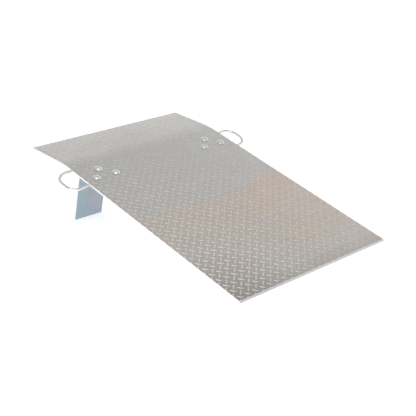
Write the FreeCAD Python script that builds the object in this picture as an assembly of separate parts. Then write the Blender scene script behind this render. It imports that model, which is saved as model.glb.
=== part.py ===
import FreeCAD, Part

# Aluminium dock plate: one bent tread plate, two bolt-on steel locking legs
# and two welded rod handles. Millimetres, +Z up.
#
# Everything is first built in the deck's own frame: x runs down the main
# section from the bend to the front lip, y runs across, z is the main
# section's normal and z = 0 is its top face. place() then tips the whole
# assembly so that it stands on its leg tips and its front lip.

import math
import os

Vector = FreeCAD.Vector

# Deck plate
PLATE_WIDTH = 762.0
FAR_LENGTH = 222.25
MAIN_LENGTH = 996.95
PLATE_THICKNESS = 6.35
BEND_ANGLE = 9.2
BEND_RADIUS = 400.0
LIP_BEVEL_RUN = 6.5
LIP_LAND = 1.35

# Locking legs
LEG_WIDTH = 132.0
LEG_THICKNESS = 6.35
LEG_FRONT_FACE = 51.0
LEG_DROP = 240.0
LEG_INNER_RADIUS = 3.2
LEG_FLANGE_END = 162.0
LEG_FLANGE_CORNER = 8.0
LEG_EDGE_ROUNDING = 1.2
LEG_OFFSET = 277.0

# Bolt triangle: one bolt near the bend, two side by side in front of it
BOLT_APEX_X = 85.0
BOLT_PAIR_X = 137.0
BOLT_PAIR_HALF = 45.7
BOLT_OFFSET = 281.0

# Five-eighths-inch carriage bolts, nuts and washers
BOLT_DIAMETER = 15.875
BOLT_LENGTH = 38.1
BOLT_TIP_CHAMFER = 1.5
HEAD_DIAMETER = 33.0
HEAD_HEIGHT = 8.0
HEAD_RIM = 1.2
NECK_DEPTH = 6.0
NECK_ROUNDING = 1.5
SQUARE_HOLE = 16.4
LEG_HOLE_DIAMETER = 17.5
FLAT_WASHER_OUTER = 33.3
FLAT_WASHER_INNER = 16.7
FLAT_WASHER_THICKNESS = 2.4
LOCK_WASHER_OUTER = 27.0
LOCK_WASHER_INNER = 16.3
LOCK_WASHER_THICKNESS = 4.0
LOCK_WASHER_SLIT = 1.6
LOCK_WASHER_SLIT_ANGLE = 20.0
NUT_ACROSS_FLATS = 23.8
NUT_HEIGHT = 13.9
NUT_BORE = 16.0
NUT_CHAMFER_ANGLE = 30.0
NUT_CHAMFER_MARGIN = 0.5

# Rod handles: a straight leg with a wide corner, and a slanted leg with a tight one
ROD_DIAMETER = 11.1
HANDLE_WIDE_SPAN = 59.0
HANDLE_TIGHT_SPAN = 65.0
HANDLE_REACH = 80.0
HANDLE_WIDE_CORNER = 66.0
HANDLE_TIGHT_CORNER = 39.0
HANDLE_SLANT = 12.0
HANDLE_INSET = 32.0
LEFT_HANDLE_X = 97.0
RIGHT_HANDLE_X = 114.0

# Fillet welds along both sides of each rod end
WELD_LENGTH = 26.0
WELD_START_INSET = 3.0
WELD_LEG = 5.5
WELD_ROOT = 1.6
WELD_ROOT_DROP = 0.7
# The bead's shoulder, as a share of its toe's distance out, and its drop below the plate
WELD_SHOULDER = 0.86
WELD_SHOULDER_DROP = 1.9
# The bead's crest and the tuck behind it, as shares of the rod's radius
WELD_CREST = 1.06
WELD_CREST_DROP = 0.86
WELD_TUCK = 0.6
WELD_TUCK_DROP = 0.7

# How far a cutting shape stands past what it cuts
CUT_MARGIN = 1.0
# Smallest cosine between two directions that count as parallel
PARALLEL = 0.999

half_width = PLATE_WIDTH / 2
rod_radius = ROD_DIAMETER / 2
rod_axis_z = -PLATE_THICKNESS - rod_radius
flange_under = -PLATE_THICKNESS - LEG_THICKNESS
flat_washer_under = flange_under - FLAT_WASHER_THICKNESS
lock_washer_under = flat_washer_under - LOCK_WASHER_THICKNESS

# The front lip's bottom edge and the blades' front bottom edges share the floor.
deck_slope = math.degrees(math.atan2(
    LEG_DROP - PLATE_THICKNESS, MAIN_LENGTH + LIP_BEVEL_RUN - LEG_FRONT_FACE))


def line(a, b):
    return Part.LineSegment(a, b).toShape()


def arc(a, middle, b):
    return Part.Arc(a, middle, b).toShape()


def polygon_prism(points, push):
    """Extrude the closed polygon through points along push."""
    wire = Part.makePolygon(points + [points[0]])
    return Part.Face(wire).extrude(push)


def edges_along(shape, direction, where):
    """Straight edges parallel to direction whose centre passes the test where."""
    chosen = []
    for edge in shape.Edges:
        if not isinstance(edge.Curve, Part.Line):
            continue
        if abs(edge.tangentAt(edge.FirstParameter).dot(direction)) < PARALLEL:
            continue
        if where(edge.CenterOfMass):
            chosen.append(edge)
    return chosen


def bolt_places(side):
    """Bolt name to (x, y); side is -1 for the left leg and +1 for the right."""
    centre = side * BOLT_OFFSET
    return {
        "apex": (BOLT_APEX_X, centre),
        "outer": (BOLT_PAIR_X, centre + side * BOLT_PAIR_HALF),
        "inner": (BOLT_PAIR_X, centre - side * BOLT_PAIR_HALF),
    }


def far_section_point(along, depth):
    """Point on the far section: along it from the bend line, depth below its top."""
    bend = math.radians(BEND_ANGLE)
    x = -along * math.cos(bend) + depth * math.sin(bend)
    z = -along * math.sin(bend) - depth * math.cos(bend)
    return Vector(x, -half_width, z)


def main_section_point(along, depth):
    return Vector(along, -half_width, -depth)


def bend_middle(depth):
    """Middle of the bend's arc at a depth below the top face."""
    half_bend = math.radians(BEND_ANGLE) / 2
    tangent_length = BEND_RADIUS * math.tan(half_bend)
    radius = BEND_RADIUS - depth
    x = tangent_length - radius * math.sin(half_bend)
    z = -BEND_RADIUS + radius * math.cos(half_bend)
    return Vector(x, -half_width, z)


def make_dock_plate():
    tangent_length = BEND_RADIUS * math.tan(math.radians(BEND_ANGLE) / 2)
    thickness = PLATE_THICKNESS
    bevel_foot = thickness - LIP_LAND
    front_end = MAIN_LENGTH + LIP_BEVEL_RUN
    far_end = FAR_LENGTH + LIP_BEVEL_RUN
    outline = Part.Wire([
        line(main_section_point(tangent_length, 0), main_section_point(MAIN_LENGTH, 0)),
        line(main_section_point(MAIN_LENGTH, 0), main_section_point(front_end, bevel_foot)),
        line(main_section_point(front_end, bevel_foot), main_section_point(front_end, thickness)),
        line(main_section_point(front_end, thickness), main_section_point(tangent_length, thickness)),
        arc(main_section_point(tangent_length, thickness), bend_middle(thickness),
            far_section_point(tangent_length, thickness)),
        line(far_section_point(tangent_length, thickness), far_section_point(far_end, thickness)),
        line(far_section_point(far_end, thickness), far_section_point(far_end, bevel_foot)),
        line(far_section_point(far_end, bevel_foot), far_section_point(FAR_LENGTH, 0)),
        line(far_section_point(FAR_LENGTH, 0), far_section_point(tangent_length, 0)),
        arc(far_section_point(tangent_length, 0), bend_middle(0),
            main_section_point(tangent_length, 0)),
    ])
    plate = Part.Face(outline).extrude(Vector(0, PLATE_WIDTH, 0))
    for side in (-1, 1):
        for x, y in bolt_places(side).values():
            corner = Vector(x - SQUARE_HOLE / 2, y - SQUARE_HOLE / 2, -PLATE_THICKNESS - CUT_MARGIN)
            depth = PLATE_THICKNESS + 2 * CUT_MARGIN
            plate = plate.cut(Part.makeBox(SQUARE_HOLE, SQUARE_HOLE, depth, corner))
    return plate


def make_leg(side):
    """L-shaped leg: a flange bolted under the deck and a blade hanging from it."""
    back = LEG_FRONT_FACE - LEG_THICKNESS
    top = -PLATE_THICKNESS
    outer = LEG_INNER_RADIUS + LEG_THICKNESS
    inner = LEG_INNER_RADIUS
    diagonal = math.sqrt(0.5)
    start_y = side * LEG_OFFSET - LEG_WIDTH / 2
    centre = Vector(back + outer, start_y, top - outer)

    def point(x, z):
        return Vector(x, start_y, z)

    def on_bend(radius):
        return centre + Vector(-radius * diagonal, 0, radius * diagonal)

    outline = Part.Wire([
        line(point(LEG_FLANGE_END, top), point(back + outer, top)),
        arc(point(back + outer, top), on_bend(outer), point(back, top - outer)),
        line(point(back, top - outer), point(back, -LEG_DROP)),
        line(point(back, -LEG_DROP), point(LEG_FRONT_FACE, -LEG_DROP)),
        line(point(LEG_FRONT_FACE, -LEG_DROP), point(LEG_FRONT_FACE, flange_under - inner)),
        arc(point(LEG_FRONT_FACE, flange_under - inner), on_bend(inner),
            point(LEG_FRONT_FACE + inner, flange_under)),
        line(point(LEG_FRONT_FACE + inner, flange_under), point(LEG_FLANGE_END, flange_under)),
        line(point(LEG_FLANGE_END, flange_under), point(LEG_FLANGE_END, top)),
    ])
    leg = Part.Face(outline).extrude(Vector(0, LEG_WIDTH, 0))
    flange_corners = edges_along(leg, Vector(0, 0, 1), lambda p: p.x > BOLT_PAIR_X)
    leg = leg.makeFillet(LEG_FLANGE_CORNER, flange_corners)
    blade_edges = edges_along(leg, Vector(0, 0, 1), lambda p: p.z < -LEG_DROP / 3)
    leg = leg.makeFillet(LEG_EDGE_ROUNDING, blade_edges)
    for x, y in bolt_places(side).values():
        hole = Part.makeCylinder(LEG_HOLE_DIAMETER / 2, LEG_THICKNESS + 2 * CUT_MARGIN,
                                 Vector(x, y, flange_under - CUT_MARGIN))
        leg = leg.cut(hole)
    return leg


def make_carriage_bolt(x, y):
    """Round-head bolt with a square neck; its head sits on the deck."""
    radius = HEAD_DIAMETER / 2
    dome_rise = HEAD_HEIGHT - HEAD_RIM
    dome_radius = (radius ** 2 + dome_rise ** 2) / (2 * dome_rise)
    half_way = radius / 2
    half_way_z = HEAD_HEIGHT - dome_radius + math.sqrt(dome_radius ** 2 - half_way ** 2)
    foot = Vector(0, 0, 0)
    rim = Vector(radius, 0, 0)
    shoulder = Vector(radius, 0, HEAD_RIM)
    crown = Vector(0, 0, HEAD_HEIGHT)
    head_outline = Part.Wire([
        line(foot, rim),
        line(rim, shoulder),
        arc(shoulder, Vector(half_way, 0, half_way_z), crown),
        line(crown, foot),
    ])
    head = Part.Face(head_outline).revolve(Vector(0, 0, 0), Vector(0, 0, 1), 360)

    half_neck = BOLT_DIAMETER / 2
    neck = Part.makeBox(BOLT_DIAMETER, BOLT_DIAMETER, NECK_DEPTH,
                        Vector(-half_neck, -half_neck, -NECK_DEPTH))
    neck = neck.makeFillet(NECK_ROUNDING, edges_along(neck, Vector(0, 0, 1), lambda p: True))

    shank_radius = BOLT_DIAMETER / 2
    shank = Part.makeCylinder(shank_radius, BOLT_LENGTH, Vector(0, 0, -BOLT_LENGTH))
    tip = [edge for edge in shank.Edges if edge.CenterOfMass.z < -BOLT_LENGTH + 0.01]
    shank = shank.makeChamfer(BOLT_TIP_CHAMFER, tip)

    bolt = head.fuse([neck, shank]).removeSplitter()
    bolt.translate(Vector(x, y, 0))
    return bolt


def make_ring(outer, inner, thickness, under_z):
    ring = Part.makeCylinder(outer / 2, thickness, Vector(0, 0, under_z))
    return ring.cut(Part.makeCylinder(inner / 2, thickness + 2 * CUT_MARGIN,
                                      Vector(0, 0, under_z - CUT_MARGIN)))


def make_flat_washer(x, y):
    washer = make_ring(FLAT_WASHER_OUTER, FLAT_WASHER_INNER, FLAT_WASHER_THICKNESS,
                       flat_washer_under)
    washer.translate(Vector(x, y, 0))
    return washer


def make_lock_washer(x, y):
    """Split ring whose slit leans across the section."""
    washer = make_ring(LOCK_WASHER_OUTER, LOCK_WASHER_INNER, LOCK_WASHER_THICKNESS,
                       lock_washer_under)
    height = LOCK_WASHER_THICKNESS + 4 * CUT_MARGIN
    slit = Part.makeBox(LOCK_WASHER_OUTER, LOCK_WASHER_SLIT, height,
                        Vector(0, -LOCK_WASHER_SLIT / 2, lock_washer_under - 2 * CUT_MARGIN))
    pivot = Vector(0, 0, lock_washer_under + LOCK_WASHER_THICKNESS / 2)
    slit.rotate(pivot, Vector(1, 0, 0), LOCK_WASHER_SLIT_ANGLE)
    washer = washer.cut(slit)
    washer.translate(Vector(x, y, 0))
    return washer


def make_hex_nut(x, y):
    """Hexagon with its corners turned off at both ends."""
    across_corners = NUT_ACROSS_FLATS / math.cos(math.radians(30))
    bottom = lock_washer_under - NUT_HEIGHT
    corners = []
    for step in range(6):
        angle = math.radians(60 * step)
        corners.append(Vector(across_corners / 2 * math.cos(angle),
                              across_corners / 2 * math.sin(angle), bottom))
    nut = polygon_prism(corners, Vector(0, 0, NUT_HEIGHT))
    flat = NUT_ACROSS_FLATS / 2
    reach = across_corners / 2 + NUT_CHAMFER_MARGIN
    drop = (reach - flat) * math.tan(math.radians(NUT_CHAMFER_ANGLE))
    turned = Part.makePolygon([
        Vector(0, 0, bottom), Vector(flat, 0, bottom), Vector(reach, 0, bottom + drop),
        Vector(reach, 0, bottom + NUT_HEIGHT - drop), Vector(flat, 0, bottom + NUT_HEIGHT),
        Vector(0, 0, bottom + NUT_HEIGHT), Vector(0, 0, bottom)])
    envelope = Part.Face(turned).revolve(Vector(0, 0, 0), Vector(0, 0, 1), 360)
    nut = nut.common(envelope)
    nut = nut.cut(Part.makeCylinder(NUT_BORE / 2, NUT_HEIGHT + 2 * CUT_MARGIN,
                                    Vector(0, 0, bottom - CUT_MARGIN)))
    nut.translate(Vector(x, y, 0))
    return nut


def slanted_leg_foot():
    """How far from the handle's middle its slanted leg crosses the plate's edge."""
    slant = math.radians(HANDLE_SLANT)
    bend_u = HANDLE_TIGHT_SPAN - HANDLE_TIGHT_CORNER * (1 - math.cos(slant))
    bend_v = HANDLE_REACH - HANDLE_TIGHT_CORNER * (1 + math.sin(slant))
    return bend_u - bend_v * math.tan(slant)


def make_handle(side, centre_x):
    """Round rod bent into a loop; the same piece is turned half round for the far side.

    u runs from the handle's middle towards its slanted leg, v outwards from the plate's edge."""
    def point(u, v):
        return Vector(centre_x - side * u, side * (half_width + v), rod_axis_z)

    def on_corner(centre_u, radius, degrees):
        turn = math.radians(degrees)
        return point(centre_u + radius * math.cos(turn),
                     HANDLE_REACH - radius + radius * math.sin(turn))

    wide = HANDLE_WIDE_CORNER
    tight = HANDLE_TIGHT_CORNER
    wide_u = wide - HANDLE_WIDE_SPAN
    tight_u = HANDLE_TIGHT_SPAN - tight
    end_u = slanted_leg_foot() - HANDLE_INSET * math.tan(math.radians(HANDLE_SLANT))
    start = point(-HANDLE_WIDE_SPAN, -HANDLE_INSET)
    path = Part.Wire([
        line(start, on_corner(wide_u, wide, 180)),
        arc(on_corner(wide_u, wide, 180), on_corner(wide_u, wide, 135), on_corner(wide_u, wide, 90)),
        line(on_corner(wide_u, wide, 90), on_corner(tight_u, tight, 90)),
        arc(on_corner(tight_u, tight, 90), on_corner(tight_u, tight, 45 - HANDLE_SLANT / 2),
            on_corner(tight_u, tight, -HANDLE_SLANT)),
        line(on_corner(tight_u, tight, -HANDLE_SLANT), point(end_u, -HANDLE_INSET)),
    ])
    section = Part.Wire([Part.makeCircle(rod_radius, start, Vector(0, side, 0))])
    return path.makePipeShell([section], True, False)


def weld_outline(rod_x, start_y, hand):
    """Section of one fillet bead beside a rod; hand +1 or -1 picks the rod's side."""
    def at(out, drop):
        return Vector(rod_x + hand * out, start_y, -PLATE_THICKNESS - drop)

    toe = rod_radius + WELD_LEG - WELD_ROOT
    return [
        at(WELD_ROOT, 0),
        at(toe, 0),
        at(toe * WELD_SHOULDER, WELD_SHOULDER_DROP),
        at(rod_radius * WELD_CREST, rod_radius * WELD_CREST_DROP),
        at(rod_radius * WELD_TUCK, rod_radius * WELD_TUCK_DROP),
        at(WELD_ROOT, WELD_ROOT_DROP),
    ]


def make_handle_welds(side, centre_x, plate):
    """Four fillet beads, one on each side of each rod end, against the plate's underside."""
    start_y = side * (half_width - WELD_START_INSET)
    push = Vector(0, -side * WELD_LENGTH, 0)
    beads = []
    for foot, slant in ((-HANDLE_WIDE_SPAN, 0), (slanted_leg_foot(), HANDLE_SLANT)):
        rod_x = centre_x - side * foot
        rod = Part.makeCylinder(rod_radius, WELD_LENGTH + 2 * CUT_MARGIN,
                                Vector(rod_x, start_y + side * CUT_MARGIN, rod_axis_z),
                                Vector(0, -side, 0))
        for hand in (-1, 1):
            bead = polygon_prism(weld_outline(rod_x, start_y, hand), push).cut(rod)
            bead.rotate(Vector(rod_x, side * half_width, 0), Vector(0, 0, 1), slant)
            beads.append(bead.cut(plate))
    return Part.makeCompound(beads)


def build_nodes():
    plate = make_dock_plate()
    nodes = {"dock_plate": plate}
    for name, side, handle_x in (("left", -1, LEFT_HANDLE_X), ("right", 1, RIGHT_HANDLE_X)):
        nodes[name + "_leg"] = make_leg(side)
        nodes[name + "_handle"] = make_handle(side, handle_x)
        nodes[name + "_handle_welds"] = make_handle_welds(side, handle_x, plate)
        for place_name, (x, y) in bolt_places(side).items():
            label = name + "_" + place_name
            nodes[label + "_carriage_bolt"] = make_carriage_bolt(x, y)
            nodes[label + "_flat_washer"] = make_flat_washer(x, y)
            nodes[label + "_lock_washer"] = make_lock_washer(x, y)
            nodes[label + "_hex_nut"] = make_hex_nut(x, y)
    return nodes


def place(nodes):
    """Tip the assembly onto the floor and centre its box over the origin."""
    for shape in nodes.values():
        shape.rotate(Vector(0, 0, 0), Vector(0, 1, 0), deck_slope)
    box = FreeCAD.BoundBox()
    for shape in nodes.values():
        box.add(shape.optimalBoundingBox(False, False))
    shift = Vector(-box.Center.x, -box.Center.y, -box.ZMin)
    for shape in nodes.values():
        shape.translate(shift)
    return box, shift


def main():
    nodes = build_nodes()
    box, shift = place(nodes)
    os.makedirs("parts", exist_ok=True)
    for name, shape in nodes.items():
        shape.exportStep("parts/" + name + ".step")
        print(name, "solids", len(shape.Solids), "valid", shape.isValid(),
              "volume", round(shape.Volume, 1))
    print("size", box.XLength, box.YLength, box.ZLength)
    print("slope", deck_slope, "bend line at", shift)


main()
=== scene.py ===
import math
import random

import bmesh
import bpy
from mathutils import Matrix, Vector


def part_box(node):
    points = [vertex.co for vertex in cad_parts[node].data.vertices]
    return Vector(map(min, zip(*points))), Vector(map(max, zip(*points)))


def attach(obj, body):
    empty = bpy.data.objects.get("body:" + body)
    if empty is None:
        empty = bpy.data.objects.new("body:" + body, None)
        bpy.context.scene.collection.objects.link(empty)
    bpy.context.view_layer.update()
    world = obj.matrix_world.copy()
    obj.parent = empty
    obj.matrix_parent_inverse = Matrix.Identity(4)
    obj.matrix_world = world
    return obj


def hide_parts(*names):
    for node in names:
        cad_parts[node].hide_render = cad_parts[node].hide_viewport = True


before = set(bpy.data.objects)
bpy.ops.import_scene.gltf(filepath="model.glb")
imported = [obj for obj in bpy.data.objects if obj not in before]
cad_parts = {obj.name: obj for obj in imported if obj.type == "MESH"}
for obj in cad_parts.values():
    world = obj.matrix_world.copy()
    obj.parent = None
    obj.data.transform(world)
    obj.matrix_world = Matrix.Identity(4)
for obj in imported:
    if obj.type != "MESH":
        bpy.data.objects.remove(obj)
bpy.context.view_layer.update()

MM = 0.001

# The deck, as it was designed
PLATE_WIDTH = 762.0 * MM
FAR_LENGTH = 222.25 * MM
MAIN_LENGTH = 996.95 * MM
PLATE_THICKNESS = 6.35 * MM
BEND_ANGLE = math.radians(9.2)
BEND_RADIUS = 400.0 * MM
LIP_BEVEL_RUN = 6.5 * MM
LIP_BEVEL_DROP = 5.0 * MM
LEG_DROP = 240.0 * MM
LEG_FRONT_FACE = 51.0 * MM
LEG_WIDTH = 132.0 * MM
LEG_OFFSET = 277.0 * MM

# Raised lugs: two crossing sets of lozenges on one nearly square lattice
LUG_PITCH_ALONG = 35.41 * MM
LUG_PITCH_ACROSS = 35.66 * MM
LUG_LENGTH = 28.0 * MM
LUG_WIDTH = 6.2 * MM
LUG_HEIGHT = 1.2 * MM
LUG_SINK = 0.2 * MM
LUG_FIRST_ALONG = 450.8 * MM
LUG_FIRST_ACROSS = -360.6 * MM
LUG_OUTLINE_POINTS = 16
# An ellipse has pointedness 1, and a lens with sharp ends has 2
LUG_POINTEDNESS = 1.4
# How much of its shrinking across, towards the crest, a lug also does along
LUG_END_SLOPE = 0.45
# Rings up one lug: share of its width, share of its height
LUG_RINGS = ((1.0, 0.0), (0.9, 0.42), (0.7, 0.8), (0.42, 0.97))

# Carriage bolts
BOLT_OFFSET = 281.0 * MM
BOLT_APEX_ALONG = 85.0 * MM
BOLT_PAIR_ALONG = 137.0 * MM
BOLT_PAIR_HALF = 45.7 * MM
BOLT_RADIUS = 15.875 / 2 * MM
BOLT_LENGTH = 38.1 * MM
BOLT_TIP_CHAMFER = 1.5 * MM
HEAD_RADIUS = 16.5 * MM
HEAD_HEIGHT = 8.0 * MM
HEAD_RIM = 1.2 * MM
NECK_DEPTH = 6.0 * MM
THREAD_PITCH = 25.4 / 11 * MM
THREAD_DEPTH = 1.25 * MM
THREAD_START = 9.0 * MM
# The flat along a thread's crest, and along its root, as a share of the pitch
THREAD_FLAT = 0.12
# Radius of the head's underside, as a share of its rim
HEAD_UNDERSIDE = 0.985
HEAD_RINGS = 16
HEAD_POINTS = 48
THREAD_POINTS = 36
THREAD_STEPS_PER_PITCH = 8

# Handles and the welds along their ends
ROD_RADIUS = 5.55 * MM
HANDLE_ALONG = {"left": 97.0 * MM, "right": 114.0 * MM}
HANDLE_WIDE_SPAN = 59.0 * MM
HANDLE_TIGHT_SPAN = 65.0 * MM
HANDLE_REACH = 80.0 * MM
HANDLE_TIGHT_CORNER = 39.0 * MM
HANDLE_SLANT = math.radians(12.0)
WELD_LENGTH = 26.0 * MM
WELD_START_INSET = 3.0 * MM
WELD_TOE = 9.45 * MM
WELD_RIPPLE = 2.9 * MM
WELD_STEPS = 66
# A bead starts and ends at this share of its full size and grows over this length
WELD_END_SIZE = 0.72
WELD_END_TAPER = 2.2 * MM

# Camera
LENS_MM = 83.85
SENSOR_MM = 36.0
CAMERA_PLACE = Vector((2.6284, -2.3903, 1.4405))
CAMERA_HEADING = math.radians(137.352)
CAMERA_DIP = math.radians(21.139)
CAMERA_ROLL = math.radians(-0.338)

half_width = PLATE_WIDTH / 2
FRONT_LEFT_CORNER = (MAIN_LENGTH, -half_width, 0.0)
deck_slope = math.atan2(LEG_DROP - PLATE_THICKNESS, MAIN_LENGTH + LIP_BEVEL_RUN - LEG_FRONT_FACE)
deck_turn = Matrix.Rotation(deck_slope, 4, "Y")


# ---------------------------------------------------------------- the deck frame

def bend_line():
    """Where the two top faces would meet, from the front lip's corner of the CAD deck."""
    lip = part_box("dock_plate")[1].x
    reach = MAIN_LENGTH + LIP_BEVEL_RUN
    x = lip - reach * math.cos(deck_slope) + LIP_BEVEL_DROP * math.sin(deck_slope)
    z = reach * math.sin(deck_slope) + PLATE_THICKNESS * math.cos(deck_slope)
    return Vector((x, 0.0, z))


deck_to_row = Matrix.Translation(bend_line()) @ deck_turn


def on_deck(along, across, height):
    """Row-frame point at a distance along and across the deck's top face and above it.

    along is 0 at the bend and negative on the far section; the bend is an arc."""
    tangent = BEND_RADIUS * math.tan(BEND_ANGLE / 2)
    if along >= tangent:
        x, z, tilt = along, 0.0, 0.0
    elif along <= -tangent:
        x, z, tilt = along * math.cos(BEND_ANGLE), along * math.sin(BEND_ANGLE), BEND_ANGLE
    else:
        tilt = (tangent - along) / (2 * tangent) * BEND_ANGLE
        x = tangent - BEND_RADIUS * math.sin(tilt)
        z = BEND_RADIUS * (math.cos(tilt) - 1)
    x -= height * math.sin(tilt)
    z += height * math.cos(tilt)
    return deck_to_row @ Vector((x, across, z))


# ---------------------------------------------------------------- node helpers

# Most of a noise texture's values lie between these two
NOISE_LOW = 0.3
NOISE_HIGH = 0.7


class Shader:
    """A node material built up by small calls."""

    def __init__(self, name):
        self.material = bpy.data.materials.new(name)
        self.material.use_nodes = True
        self.tree = self.material.node_tree
        self.tree.nodes.clear()
        self.surface = self.add("ShaderNodeBsdfPrincipled")
        output = self.add("ShaderNodeOutputMaterial")
        self.link(self.surface.outputs["BSDF"], output.inputs["Surface"])

    def add(self, kind, **settings):
        made = self.tree.nodes.new(kind)
        for name, value in settings.items():
            setattr(made, name, value)
        return made

    def link(self, source, target):
        self.tree.links.new(source, target)

    def set(self, name, value):
        self.surface.inputs[name].default_value = value

    def drive(self, name, source):
        self.link(source, self.surface.inputs[name])

    def place(self, scale=(1, 1, 1), turn=(0, 0, 0)):
        """Object coordinates, turned and then scaled."""
        coords = self.add("ShaderNodeTexCoord")
        turned = self.add("ShaderNodeMapping")
        turned.inputs["Rotation"].default_value = turn
        self.link(coords.outputs["Object"], turned.inputs["Vector"])
        scaled = self.add("ShaderNodeMapping")
        scaled.inputs["Scale"].default_value = scale
        self.link(turned.outputs["Vector"], scaled.inputs["Vector"])
        return scaled.outputs["Vector"]

    def noise(self, where, scale, detail=2.0, roughness=0.5, distortion=0.0):
        made = self.add("ShaderNodeTexNoise")
        made.inputs["Scale"].default_value = scale
        made.inputs["Detail"].default_value = detail
        made.inputs["Roughness"].default_value = roughness
        made.inputs["Distortion"].default_value = distortion
        self.link(where, made.inputs["Vector"])
        return made.outputs["Fac"]

    def remap(self, source, low, high, to_low, to_high):
        made = self.add("ShaderNodeMapRange")
        made.inputs["From Min"].default_value = low
        made.inputs["From Max"].default_value = high
        made.inputs["To Min"].default_value = to_low
        made.inputs["To Max"].default_value = to_high
        self.link(source, made.inputs["Value"])
        return made.outputs["Result"]

    def spread(self, noise, low, high):
        """A noise value stretched to run from low to high."""
        return self.remap(noise, NOISE_LOW, NOISE_HIGH, low, high)

    def math(self, operation, first, second):
        made = self.add("ShaderNodeMath", operation=operation)
        for place, value in enumerate((first, second)):
            if isinstance(value, (int, float)):
                made.inputs[place].default_value = value
            else:
                self.link(value, made.inputs[place])
        return made.outputs["Value"]

    def mix(self, amount, first, second, blend="MIX"):
        made = self.add("ShaderNodeMix", data_type="RGBA", blend_type=blend)
        factor, first_colour, second_colour = made.inputs[0], made.inputs[6], made.inputs[7]
        for socket, value in ((factor, amount), (first_colour, first), (second_colour, second)):
            if isinstance(value, (int, float)):
                socket.default_value = value
            elif isinstance(value, tuple):
                socket.default_value = (*value, 1.0)
            else:
                self.link(value, socket)
        return made.outputs[2]

    def grey(self, value):
        made = self.add("ShaderNodeCombineColor")
        for name in ("Red", "Green", "Blue"):
            self.link(value, made.inputs[name])
        return made.outputs["Color"]

    def axes(self, where):
        """X, Y and Z of a vector as three sockets."""
        made = self.add("ShaderNodeSeparateXYZ")
        self.link(where, made.inputs["Vector"])
        return made.outputs["X"], made.outputs["Y"], made.outputs["Z"]

    def distance(self, where, point):
        made = self.add("ShaderNodeVectorMath", operation="DISTANCE")
        self.link(where, made.inputs[0])
        made.inputs[1].default_value = point
        return made.outputs["Value"]

    def darken(self, colour, *shades):
        """The colour multiplied by each grey factor in turn."""
        for shade in shades:
            colour = self.mix(1.0, colour, self.grey(shade), "MULTIPLY")
        return colour

    def bump(self, height, distance):
        made = self.add("ShaderNodeBump")
        made.inputs["Distance"].default_value = distance
        made.inputs["Strength"].default_value = 1.0
        self.link(height, made.inputs["Height"])
        self.link(made.outputs["Normal"], self.surface.inputs["Normal"])


# ---------------------------------------------------------------- materials

ALUMINIUM_COOL = (0.640, 0.625, 0.601)
ALUMINIUM_WARM = (0.692, 0.605, 0.542)
ALUMINIUM_AMBER = (0.698, 0.610, 0.530)
ALUMINIUM_SHEARED = (0.90, 0.90, 0.89)
# Painted highlight for the bevel faces
ALUMINIUM_BEVEL_PAINTED_HIGHLIGHT = (0.76, 0.76, 0.765)
ZINC_BLUE = (0.35, 0.44, 0.51)
ZINC_GREEN = (0.34, 0.45, 0.485)
ZINC_VIOLET = (0.395, 0.40, 0.475)
ZINC_PINK = (0.40, 0.375, 0.41)
# Painted highlight for the legs' side faces
ZINC_PAINTED_EDGE_HIGHLIGHT = (0.84, 0.89, 0.88)
ZINC_BRIGHT = (0.88, 0.92, 0.94)
ZINC_DULL = (0.72, 0.78, 0.81)
ROD_GREY = (0.88, 0.885, 0.865)
ROD_SCUFFED = (0.80, 0.80, 0.79)
# Painted shade for the rod's outline at grazing angles
ROD_GRAZING_PAINTED_SHADE = (0.48, 0.49, 0.47, 1.0)
WELD_CLEAN = (0.72, 0.71, 0.69)
WELD_SOOTY = (0.42, 0.40, 0.38)

# The warm stretch: where it starts along the deck, how soft its edge is and how far that wanders,
# then its strength at the front lip and at the two sides
WARM_FROM = 450.0 * MM
WARM_EDGE_BEFORE = 15.0 * MM
WARM_EDGE_AFTER = 25.0 * MM
WARM_WANDER = 30.0 * MM
WARM_AT_FRONT = 0.25
WARM_AT_LEFT = 0.55
WARM_AT_RIGHT = 1.1
# Amber stains on the deck: mm along, mm across and mm of spread
AMBER_STAINS = ((505.0, 285.0, 120.0), (610.0, 150.0, 110.0), (800.0, 130.0, 110.0))
# The pink patch on each leg, from the leg's inner edge and from the deck's top face
PINK_INWARD = 0.48 * LEG_WIDTH
PINK_DEPTH = 0.52 * LEG_DROP
PINK_CORE = 5.0 * MM
PINK_HALF_WIDTH = 30.0 * MM
PINK_HALF_HEIGHT = 35.0 * MM


def deck_place(shader):
    """Coordinates along and across the deck, with the bend line at zero."""
    flat = shader.place(turn=(0, -deck_slope, 0))
    moved = shader.add("ShaderNodeVectorMath", operation="SUBTRACT")
    shader.link(flat, moved.inputs[0])
    moved.inputs[1].default_value = deck_turn.inverted() @ bend_line()
    return moved.outputs["Vector"]


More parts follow.
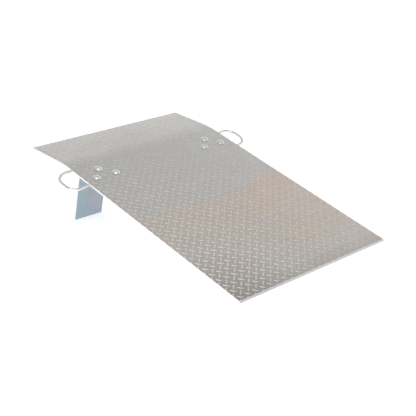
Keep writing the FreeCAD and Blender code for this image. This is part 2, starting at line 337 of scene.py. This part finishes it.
def deck_colour(shader, where, painted_corner_level):
    """Cool grey sheet that turns warm from WARM_FROM on, most on the right, with painted light and
    shade laid over it.

    The last argument is the brightness that the painted shade leaves at the front left corner."""
    along, across, _ = shader.axes(where)
    patches = shader.noise(where, 5.0, detail=3.0, roughness=0.55, distortion=0.4)
    wandering = shader.math("ADD", along, shader.spread(patches, -WARM_WANDER, WARM_WANDER))
    started = shader.remap(wandering, WARM_FROM - WARM_EDGE_BEFORE, WARM_FROM + WARM_EDGE_AFTER,
                           0.0, 1.0)
    fading = shader.remap(wandering, WARM_FROM, MAIN_LENGTH, 1.0, WARM_AT_FRONT)
    sideways = shader.remap(across, -half_width, half_width, WARM_AT_LEFT, WARM_AT_RIGHT)
    amount = shader.math("MULTIPLY", shader.math("MULTIPLY", started, fading), sideways)
    tint = shader.mix(amount, ALUMINIUM_COOL, ALUMINIUM_WARM)
    stained = 0.0
    for stain_along, stain_across, spread in AMBER_STAINS:
        away = shader.distance(where, (stain_along * MM, stain_across * MM, 0.0))
        stain = shader.remap(away, 0.25 * spread * MM, spread * MM, 1.0, 0.0)
        stained = shader.math("MAXIMUM", stain, stained)
    ragged = shader.math("MULTIPLY", stained, shader.remap(patches, 0.35, 0.6, 0.35, 1.0))
    tint = shader.mix(ragged, tint, ALUMINIUM_AMBER)
    cloud = shader.noise(where, 16.0, detail=5.0, roughness=0.6)
    cloud_shade = shader.spread(cloud, 0.965, 1.03)
    speckle_shade = shader.spread(shader.noise(where, 90.0, detail=2.0), 0.972, 1.028)
    # Painted light: the far section is made brighter.
    painted_far_light = shader.remap(along, -190.0 * MM, -80.0 * MM, 1.06, 1.0)
    # Painted light: the deck is made brighter towards its right side.
    painted_right_light = shader.remap(across, 50.0 * MM, 330.0 * MM, 1.0, 1.05)
    # Painted shade: the deck darkens towards its front left corner.
    corner = shader.distance(where, FRONT_LEFT_CORNER)
    painted_corner_shade = shader.remap(corner, 30.0 * MM, 300.0 * MM, painted_corner_level, 1.0)
    # Painted shade: a darker band along the front lip.
    painted_rim_shade = shader.remap(along, MAIN_LENGTH - 70.0 * MM, MAIN_LENGTH - 8.0 * MM, 1.0, 0.9)
    # The painted light and shade: far section, right side, front left corner and front lip.
    painted_shades = (painted_far_light, painted_right_light, painted_corner_shade, painted_rim_shade)
    return shader.darken(tint, cloud_shade, speckle_shade, *painted_shades)


def make_deck_material():
    """Mill-finish sheet, rolled along its length, with machined bevels and sheared sides; the bevels
    carry a painted highlight.
    """
    shader = Shader("mill_aluminium")
    where = deck_place(shader)
    drawn_out = shader.place(scale=(14, 900, 60), turn=(0, -deck_slope, 0))
    streaks = shader.noise(drawn_out, 1.0, detail=3.0)
    # 0.73 is what the painted shade leaves of the deck's brightness at its front left corner.
    tint = shader.darken(deck_colour(shader, where, 0.73), shader.spread(streaks, 0.97, 1.025))

    facing = shader.add("ShaderNodeTexCoord").outputs["Normal"]
    _, sideways, upward = shader.axes(facing)
    level = shader.math("ABSOLUTE", upward, 0.0)
    sheared = shader.math("ABSOLUTE", sideways, 0.0)
    # Painted highlight: the lip's bevel faces get a lighter tone of their own.
    tint = shader.mix(shader.remap(level, 0.90, 0.80, 0.0, 1.0), tint, ALUMINIUM_BEVEL_PAINTED_HIGHLIGHT)
    tint = shader.mix(shader.remap(sheared, 0.5, 0.6, 0.0, 1.0), tint, ALUMINIUM_SHEARED)
    shader.drive("Base Color", tint)
    shader.set("Metallic", 1.0)
    smudge = shader.noise(where, 7.0, detail=6.0, roughness=0.65)
    shader.drive("Roughness", shader.spread(smudge, 0.31, 0.42))
    grain = shader.noise(where, 1400.0, detail=2.0)
    shader.bump(shader.math("ADD", streaks, shader.math("MULTIPLY", grain, 0.6)), 0.00006)
    return shader.material


def make_lug_material():
    """The same metal on the lugs, smoothest at the front left corner, with painted highlights strongest
    there and on the far section.
    """
    shader = Shader("rolled_lug_aluminium")
    where = deck_place(shader)
    corner = shader.distance(where, FRONT_LEFT_CORNER)
    # Painted highlight: the lugs are made brighter nearest the front left corner.
    painted_lug_highlight = shader.remap(corner, 200.0 * MM, 1000.0 * MM, 1.26, 1.05)
    along, _, _ = shader.axes(where)
    # Painted highlight: the lugs on the far section are made brighter.
    painted_far_lug_highlight = shader.remap(along, -20.0 * MM, -100.0 * MM, 1.0, 1.05)
    # The lugs get no painted corner shade.
    shader.drive("Base Color", shader.darken(deck_colour(shader, where, 1.0), painted_lug_highlight, painted_far_lug_highlight))
    shader.set("Metallic", 1.0)
    shader.drive("Roughness", shader.remap(corner, 100.0 * MM, 1000.0 * MM, 0.2, 0.45))
    shader.bump(shader.noise(where, 900.0, detail=2.0), 0.00005)
    return shader.material


def make_leg_material():
    """Blue-white zinc plate with rainbow clouds: green outside, violet inside, a pink patch between. It
    carries painted shade along the inner edge and a painted highlight on the side faces.
    """
    shader = Shader("blue_zinc_plate")
    where = deck_place(shader)
    _, across, height = shader.axes(where)
    aside = shader.math("ABSOLUTE", across, 0.0)
    inner = LEG_OFFSET - LEG_WIDTH / 2
    from_outside = shader.remap(aside, inner + LEG_WIDTH, inner, -0.22, 0.2)
    low_down = shader.remap(height, -LEG_DROP + 30.0 * MM, -LEG_DROP + 2.0 * MM, 0.0, -0.2)
    clouds = shader.noise(where, 22.0, detail=4.0, roughness=0.6, distortion=0.8)
    drift = shader.math("ADD", shader.math("ADD", clouds, from_outside), low_down)
    violet = shader.remap(drift, 0.46, 0.62, 0.0, 1.0)
    green = shader.remap(drift, 0.44, 0.28, 0.0, 1.0)
    tint = shader.mix(violet, ZINC_BLUE, ZINC_VIOLET)
    tint = shader.mix(green, tint, ZINC_GREEN)
    beside = shader.math("ABSOLUTE", shader.math("SUBTRACT", aside, inner + PINK_INWARD), 0.0)
    above = shader.math("ABSOLUTE", shader.math("ADD", height, PINK_DEPTH), 0.0)
    pink = shader.math("MULTIPLY", shader.remap(beside, PINK_CORE, PINK_HALF_WIDTH, 1.0, 0.0),
                       shader.remap(above, PINK_CORE, PINK_HALF_HEIGHT, 1.0, 0.0))
    tint = shader.mix(pink, tint, ZINC_PINK)
    mottle = shader.noise(where, 90.0, detail=5.0, roughness=0.6)
    # Painted shade: a darker strip along each leg's inner edge.
    painted_rim_shade = shader.remap(aside, inner + 2.0 * MM, inner + 6.0 * MM, 0.72, 1.0)
    tint = shader.darken(tint, shader.spread(mottle, 0.93, 1.06), painted_rim_shade)
    # Painted highlight: the legs' side faces get a paler tone.
    _, sideways, _ = shader.axes(shader.add("ShaderNodeTexCoord").outputs["Normal"])
    edge = shader.remap(shader.math("ABSOLUTE", sideways, 0.0), 0.4, 0.8, 0.0, 1.0)
    shader.drive("Base Color", shader.mix(edge, tint, ZINC_PAINTED_EDGE_HIGHLIGHT))
    shader.set("Metallic", 1.0)
    shader.drive("Roughness", shader.spread(mottle, 0.3, 0.46))
    drawn = shader.noise(shader.place(scale=(300, 900, 30)), 1.0, detail=2.0)
    shader.bump(drawn, 0.00006)
    return shader.material


def make_fastener_material():
    """Bright zinc with a cold cast, slightly clouded."""
    shader = Shader("bright_zinc_plate")
    where = shader.place()
    clouds = shader.noise(where, 120.0, detail=3.0)
    clouded = shader.remap(clouds, 0.35, 0.65, 0.0, 1.0)
    shader.drive("Base Color", shader.mix(clouded, ZINC_BRIGHT, ZINC_DULL))
    shader.set("Metallic", 1.0)
    shader.drive("Roughness", shader.spread(shader.noise(where, 260.0, detail=4.0), 0.27, 0.4))
    shader.bump(shader.noise(where, 1500.0), 0.00004)
    return shader.material


def make_rod_material():
    """Drawn aluminium rod, satin and lightly scuffed, with a painted dark rim at grazing angles."""
    shader = Shader("drawn_aluminium_rod")
    where = shader.place()
    scuffs = shader.noise(where, 45.0, detail=5.0, roughness=0.62)
    scuffed = shader.remap(scuffs, 0.4, 0.7, 0.0, 1.0)
    shader.drive("Base Color", shader.mix(scuffed, ROD_GREY, ROD_SCUFFED))
    shader.set("Metallic", 1.0)
    # Painted shade: a dark grazing tint darkens the rod's outline.
    shader.set("Specular Tint", ROD_GRAZING_PAINTED_SHADE)
    shader.drive("Roughness", shader.spread(scuffs, 0.18, 0.3))
    shader.bump(shader.noise(where, 800.0, detail=3.0), 0.00005)
    return shader.material


def make_weld_material():
    """Dull, slightly sooty weld metal."""
    shader = Shader("weld_aluminium")
    where = shader.place()
    soot = shader.noise(where, 70.0, detail=4.0)
    sooty = shader.remap(soot, 0.4, 0.7, 0.0, 1.0)
    shader.drive("Base Color", shader.mix(sooty, WELD_CLEAN, WELD_SOOTY))
    shader.set("Metallic", 1.0)
    shader.drive("Roughness", shader.spread(soot, 0.35, 0.6))
    shader.bump(shader.noise(where, 500.0, detail=3.0), 0.0001)
    return shader.material


def make_floor_material():
    """Plain white studio floor, lifted a little so that it reads as seamless paper."""
    shader = Shader("studio_floor")
    shader.set("Base Color", (0.86, 0.86, 0.86, 1.0))
    shader.set("Roughness", 0.9)
    shader.set("Specular IOR Level", 0.1)
    shader.set("Emission Color", (1.0, 1.0, 1.0, 1.0))
    shader.set("Emission Strength", 0.6)
    return shader.material


def give(node, material):
    """Put one material on every slot of a CAD node."""
    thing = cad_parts[node]
    if not thing.material_slots:
        thing.data.materials.append(material)
    for place in thing.material_slots:
        place.material = material


def finish_piece(mesh, name, material):
    """Turn a bmesh into a piece that rides on the object, in one of the object's slots."""
    bmesh.ops.recalc_face_normals(mesh, faces=mesh.faces[:])
    data = bpy.data.meshes.new(name)
    mesh.to_mesh(data)
    mesh.free()
    data.materials.append(material)
    piece = bpy.data.objects.new(name, data)
    bpy.context.scene.collection.objects.link(piece)
    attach(piece, "root")
    return piece


# ---------------------------------------------------------------- tread lugs

def lug_rings():
    """Rings of (u, v, height) points for one lug, foot first; u is along the lug."""
    rings = []
    levels = [(1.0, -LUG_SINK)] + [(size, rise * LUG_HEIGHT) for size, rise in LUG_RINGS]
    for size, height in levels:
        ring = []
        for step in range(LUG_OUTLINE_POINTS):
            angle = 2 * math.pi * step / LUG_OUTLINE_POINTS
            u = math.cos(angle) * LUG_LENGTH / 2 * (1 - (1 - size) * LUG_END_SLOPE)
            side = math.sin(angle)
            v = math.copysign(abs(side) ** LUG_POINTEDNESS, side) * LUG_WIDTH / 2 * size
            ring.append((u, v, height))
        rings.append(ring)
    return rings


def add_lug(mesh, rings, along, across, hand):
    """One lug in unrolled deck coordinates; hand +1 leans one way and -1 the other."""
    diagonal = math.sqrt(0.5)
    layers = []
    for ring in rings:
        layer = []
        for u, v, height in ring:
            x = along + diagonal * (u - hand * v)
            y = across + diagonal * (hand * u + v)
            layer.append(mesh.verts.new((x, y, height)))
        layers.append(layer)
    count = LUG_OUTLINE_POINTS
    for lower, upper in zip(layers, layers[1:]):
        for step in range(count):
            after = (step + 1) % count
            mesh.faces.new((lower[step], lower[after], upper[after], upper[step]))
    mesh.faces.new(layers[-1])
    mesh.faces.new(reversed(layers[0]))


def cut_lugs(mesh, point, outward):
    """Trim what stands past a plane and close each cut lug."""
    every = mesh.verts[:] + mesh.edges[:] + mesh.faces[:]
    result = bmesh.ops.bisect_plane(mesh, geom=every, plane_co=point, plane_no=outward,
                                    clear_outer=True)
    rim = [piece for piece in result["geom_cut"] if isinstance(piece, bmesh.types.BMEdge)]
    if rim:
        bmesh.ops.holes_fill(mesh, edges=rim, sides=0)


def bolt_places():
    """Bolt name to its axis, (along, across)."""
    places = {}
    for name, side in (("left", -1), ("right", 1)):
        places[name + "_apex"] = (BOLT_APEX_ALONG, side * BOLT_OFFSET)
        places[name + "_outer"] = (BOLT_PAIR_ALONG, side * (BOLT_OFFSET + BOLT_PAIR_HALF))
        places[name + "_inner"] = (BOLT_PAIR_ALONG, side * (BOLT_OFFSET - BOLT_PAIR_HALF))
    return places


def make_lugs(material):
    """All the lugs that fit on the deck clear of the bolt heads, trimmed at its rims."""
    mesh = bmesh.new()
    rings = lug_rings()
    heads = bolt_places().values()
    reach = LUG_LENGTH / 2
    clearance = HEAD_RADIUS + reach / 2
    steps = int((FAR_LENGTH + MAIN_LENGTH) / LUG_PITCH_ALONG) + 4
    for i in range(-steps, steps):
        for j in range(-2, int(PLATE_WIDTH / LUG_PITCH_ACROSS) + 4):
            for hand, shift in ((1, 0.0), (-1, 0.5)):
                across = LUG_FIRST_ACROSS + (j + shift) * LUG_PITCH_ACROSS
                along = LUG_FIRST_ALONG + (i + shift) * LUG_PITCH_ALONG
                if not -FAR_LENGTH - reach < along < MAIN_LENGTH + reach:
                    continue
                if abs(across) > half_width + reach:
                    continue
                if any(math.hypot(along - x, across - y) < clearance for x, y in heads):
                    continue
                add_lug(mesh, rings, along, across, hand)
    bevel = Vector((1, 0, 1)).normalized()
    cut_lugs(mesh, Vector((MAIN_LENGTH, 0, 0)), bevel)
    cut_lugs(mesh, Vector((-FAR_LENGTH, 0, 0)), Vector((-bevel.x, 0, bevel.z)))
    cut_lugs(mesh, Vector((0, half_width, 0)), Vector((0, 1, 0)))
    cut_lugs(mesh, Vector((0, -half_width, 0)), Vector((0, -1, 0)))
    for vert in mesh.verts:
        vert.co = on_deck(*vert.co)
    for face in mesh.faces:
        face.smooth = len(face.verts) == 4
    finish_piece(mesh, "tread_lugs", material)


# ---------------------------------------------------------------- carriage bolts

def head_profile():
    """(radius, height) down the domed head, from near the crown to its flat underside."""
    rise = HEAD_HEIGHT - HEAD_RIM
    dome = (HEAD_RADIUS ** 2 + rise ** 2) / (2 * rise)
    points = []
    for step in range(1, HEAD_RINGS + 1):
        radius = HEAD_RADIUS * step / HEAD_RINGS
        points.append((radius, HEAD_HEIGHT - dome + math.sqrt(dome ** 2 - radius ** 2)))
    points.append((HEAD_RADIUS * HEAD_UNDERSIDE, 0.0))
    return points


def thread_radius(turn, depth):
    """Shank radius at a share of a turn and a depth under the head, along one helix."""
    phase = (depth / THREAD_PITCH + turn) % 1.0
    groove = 1 - abs(2 * phase - 1)
    groove = min(max((groove - THREAD_FLAT) / (1 - 2 * THREAD_FLAT), 0.0), 1.0)
    run_out = min(max((depth - THREAD_START) / THREAD_PITCH, 0.0), 1.0)
    radius = BOLT_RADIUS - THREAD_DEPTH * groove * run_out
    tip = BOLT_RADIUS - BOLT_TIP_CHAMFER + (BOLT_LENGTH - depth)
    return min(radius, tip)


def add_loft(mesh, rings, close_first, close_last):
    """Skin between equal rings of points, with the end rings closed if asked."""
    layers = [[mesh.verts.new(point) for point in ring] for ring in rings]
    count = len(layers[0])
    for upper, lower in zip(layers, layers[1:]):
        for step in range(count):
            after = (step + 1) % count
            mesh.faces.new((upper[step], lower[step], lower[after], upper[after])).smooth = True
    if close_first:
        mesh.faces.new(layers[0])
    if close_last:
        mesh.faces.new(reversed(layers[-1]))


def circle(radius, height):
    """Points of one ring of the bolt's head."""
    turns = [2 * math.pi * step / HEAD_POINTS for step in range(HEAD_POINTS)]
    return [(radius * math.cos(turn), radius * math.sin(turn), height) for turn in turns]


def make_bolt(name, along, across, material):
    """Domed head, square neck and a shank with a cut thread."""
    mesh = bmesh.new()
    add_loft(mesh, [circle(radius, height) for radius, height in head_profile()], False, True)
    crown = mesh.verts.new((0, 0, HEAD_HEIGHT))
    mesh.verts.ensure_lookup_table()
    for step in range(HEAD_POINTS):
        after = (step + 1) % HEAD_POINTS
        mesh.faces.new((crown, mesh.verts[step], mesh.verts[after])).smooth = True

    neck = bmesh.ops.create_cube(mesh, size=1.0)["verts"]
    bmesh.ops.scale(mesh, vec=(BOLT_RADIUS * 2, BOLT_RADIUS * 2, NECK_DEPTH), verts=neck)
    bmesh.ops.translate(mesh, vec=(0, 0, -NECK_DEPTH / 2), verts=neck)

    step_down = THREAD_PITCH / THREAD_STEPS_PER_PITCH
    levels = int((BOLT_LENGTH - NECK_DEPTH) / step_down)
    rings = []
    for level in range(levels + 1):
        depth = BOLT_LENGTH - (levels - level) * step_down
        ring = []
        for step in range(THREAD_POINTS):
            turn = step / THREAD_POINTS
            radius = thread_radius(turn, depth)
            angle = 2 * math.pi * turn
            ring.append((radius * math.cos(angle), radius * math.sin(angle), -depth))
        rings.append(ring)
    add_loft(mesh, rings, True, True)
    mesh.transform(deck_to_row @ Matrix.Translation((along, across, 0)))
    bolt = finish_piece(mesh, name + "_threaded_bolt", material)
    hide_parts(name + "_carriage_bolt")


# ---------------------------------------------------------------- weld beads

def bead_section(hand, swell):
    """Outline of one fillet between the plate's underside and the rod, about the rod's top line.

    swell is the bead's outward growth as a share of its size."""
    toe = WELD_TOE * (0.94 + 0.06 * swell)
    bulge = 1.0 + 0.16 * swell
    outline = [(0.16 * ROD_RADIUS, 0.0), (toe, 0.0), (toe * 0.97, -0.7 * MM)]
    outline += [(toe * 0.86 * bulge ** 0.4, -2.3 * MM * bulge), (ROD_RADIUS * 1.22, -3.9 * MM * bulge),
                (ROD_RADIUS * 1.03, -ROD_RADIUS * 0.86), (ROD_RADIUS * 0.6, -ROD_RADIUS * 0.8)]
    return [(hand * x, z) for x, z in outline]


def slanted_leg_foot():
    """How far from the handle's middle its slanted leg crosses the deck's edge."""
    bend_along = HANDLE_TIGHT_SPAN - HANDLE_TIGHT_CORNER * (1 - math.cos(HANDLE_SLANT))
    bend_out = HANDLE_REACH - HANDLE_TIGHT_CORNER * (1 + math.sin(HANDLE_SLANT))
    return bend_along - bend_out * math.tan(HANDLE_SLANT)


def make_weld_beads(name, side, material):
    """Beads laid as overlapping puddles along both sides of each rod end."""
    mesh = bmesh.new()
    chance = random.Random(name)
    straight_and_slanted = ((-HANDLE_WIDE_SPAN, 0.0), (slanted_leg_foot(), HANDLE_SLANT))
    for foot, slant in straight_and_slanted:
        crossing = Vector((HANDLE_ALONG[name] - side * foot, side * half_width, -PLATE_THICKNESS))
        turn = Matrix.Rotation(slant, 3, "Z")
        for hand in (-1, 1):
            offset = chance.uniform(0, WELD_RIPPLE)
            rings = []
            for step in range(WELD_STEPS + 1):
                run = WELD_LENGTH * step / WELD_STEPS
                puddle = ((run + offset) / WELD_RIPPLE) % 1.0
                swell = math.sin(math.pi * puddle) ** 0.6 + chance.uniform(-0.08, 0.08)
                from_end = min(run, WELD_LENGTH - run) / WELD_END_TAPER
                shrink = min(1.0, WELD_END_SIZE + (1 - WELD_END_SIZE) * from_end)
                inward = -side * (WELD_START_INSET + run)
                ring = []
                for x, z in bead_section(hand, swell):
                    narrowing = shrink if abs(x) > ROD_RADIUS else 1.0
                    ring.append(crossing + turn @ Vector((x * narrowing, inward, z * shrink)))
                rings.append(ring)
            add_loft(mesh, rings, True, True)
    mesh.transform(deck_to_row)
    beads = finish_piece(mesh, name + "_rippled_welds", material)
    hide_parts(name + "_handle_welds")


# ---------------------------------------------------------------- materials onto the CAD nodes

def dress_cad_nodes():
    """A material on every CAD node, and the modelled bolts and welds in place of the plain ones."""
    fastener = make_fastener_material()
    weld = make_weld_material()
    finishes = {
        "_plate": make_deck_material(),
        "_leg": make_leg_material(),
        "_handle": make_rod_material(),
        "_welds": weld,
        "": fastener,
    }
    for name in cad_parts:
        ending = next(end for end in finishes if name.endswith(end))
        give(name, finishes[ending])
    for name, (along, across) in bolt_places().items():
        make_bolt(name, along, across, fastener)
    make_weld_beads("left", -1, weld)
    make_weld_beads("right", 1, weld)


# ---------------------------------------------------------------- studio

FLOOR_HALF = 30.0
# Sky brightness by the sine of the height above the horizon
SKY_LEVELS = ((0.0, 0.98), (0.36, 0.94), (0.50, 0.86), (0.60, 0.66), (0.70, 0.60), (0.85, 0.48),
              (1.0, 0.55))
# The sky fades to this share on the camera's side; it starts and ends to fade at these cosines
SKY_DIMMED = 0.6
SKY_DIM_STARTS = -0.1
SKY_DIM_ENDS = 0.6
SOFTBOX_PLACE = (1.2, -1.2, 3.0)
SOFTBOX_SIZE = (2.8, 2.8)
SOFTBOX_WATTS = 32.0


def make_floor():
    data = bpy.data.meshes.new("floor")
    reach = FLOOR_HALF
    corners = [(-reach, -reach, 0), (reach, -reach, 0), (reach, reach, 0), (-reach, reach, 0)]
    data.from_pydata(corners, [], [(0, 1, 2, 3)])
    floor = bpy.data.objects.new("floor", data)
    bpy.context.scene.collection.objects.link(floor)
    data.materials.append(make_floor_material())


def make_world():
    """Tent light: bright near the horizon, dimmer overhead and on the camera's side."""
    world = bpy.data.worlds.new("studio_tent")
    world.use_nodes = True
    tree = world.node_tree
    tree.nodes.clear()
    output = tree.nodes.new("ShaderNodeOutputWorld")
    background = tree.nodes.new("ShaderNodeBackground")
    coords = tree.nodes.new("ShaderNodeTexCoord")
    axes = tree.nodes.new("ShaderNodeSeparateXYZ")
    ramp = tree.nodes.new("ShaderNodeValToRGB")
    tree.links.new(coords.outputs["Generated"], axes.inputs["Vector"])
    tree.links.new(axes.outputs["Z"], ramp.inputs["Fac"])
    facing = tree.nodes.new("ShaderNodeVectorMath")
    facing.operation = "DOT_PRODUCT"
    facing.inputs[1].default_value = (-math.cos(CAMERA_HEADING), -math.sin(CAMERA_HEADING), 0.0)
    dimmer = tree.nodes.new("ShaderNodeMapRange")
    dimmer.inputs["From Min"].default_value = SKY_DIM_STARTS
    dimmer.inputs["From Max"].default_value = SKY_DIM_ENDS
    dimmer.inputs["To Min"].default_value = 1.0
    dimmer.inputs["To Max"].default_value = SKY_DIMMED
    dimmed = tree.nodes.new("ShaderNodeVectorMath")
    dimmed.operation = "SCALE"
    tree.links.new(coords.outputs["Generated"], facing.inputs[0])
    tree.links.new(facing.outputs["Value"], dimmer.inputs["Value"])
    tree.links.new(ramp.outputs["Color"], dimmed.inputs[0])
    tree.links.new(dimmer.outputs["Result"], dimmed.inputs["Scale"])
    tree.links.new(dimmed.outputs["Vector"], background.inputs["Color"])
    tree.links.new(background.outputs["Background"], output.inputs["Surface"])
    while len(ramp.color_ramp.elements) < len(SKY_LEVELS):
        ramp.color_ramp.elements.new(0.5)
    for element, (place, level) in zip(ramp.color_ramp.elements, SKY_LEVELS):
        element.position = place
        element.color = (level, level, level, 1.0)
    bpy.context.scene.world = world


def make_softbox():
    """One wide light, high on the camera's side and aimed at the middle of the floor."""
    data = bpy.data.lights.new("overhead_softbox", "AREA")
    data.shape = "RECTANGLE"
    data.size, data.size_y = SOFTBOX_SIZE
    data.energy = SOFTBOX_WATTS
    light = bpy.data.objects.new("overhead_softbox", data)
    light.location = SOFTBOX_PLACE
    light.rotation_mode = "QUATERNION"
    light.rotation_quaternion = (-Vector(SOFTBOX_PLACE)).to_track_quat("-Z", "Y")
    bpy.context.scene.collection.objects.link(light)


def make_camera():
    data = bpy.data.cameras.new("camera")
    data.lens = LENS_MM
    data.sensor_width = SENSOR_MM
    camera = bpy.data.objects.new("camera", data)
    camera.location = CAMERA_PLACE
    ahead = Vector((math.cos(CAMERA_HEADING) * math.cos(CAMERA_DIP),
                    math.sin(CAMERA_HEADING) * math.cos(CAMERA_DIP), -math.sin(CAMERA_DIP)))
    camera.rotation_mode = "QUATERNION"
    level = ahead.to_track_quat("-Z", "Y")
    camera.rotation_quaternion = level @ Matrix.Rotation(CAMERA_ROLL, 3, "Z").to_quaternion()
    bpy.context.scene.collection.objects.link(camera)
    bpy.context.scene.camera = camera


dress_cad_nodes()
make_lugs(make_lug_material())
make_floor()
make_world()
make_softbox()
make_camera()
bpy.context.scene.view_settings.view_transform = "Standard"
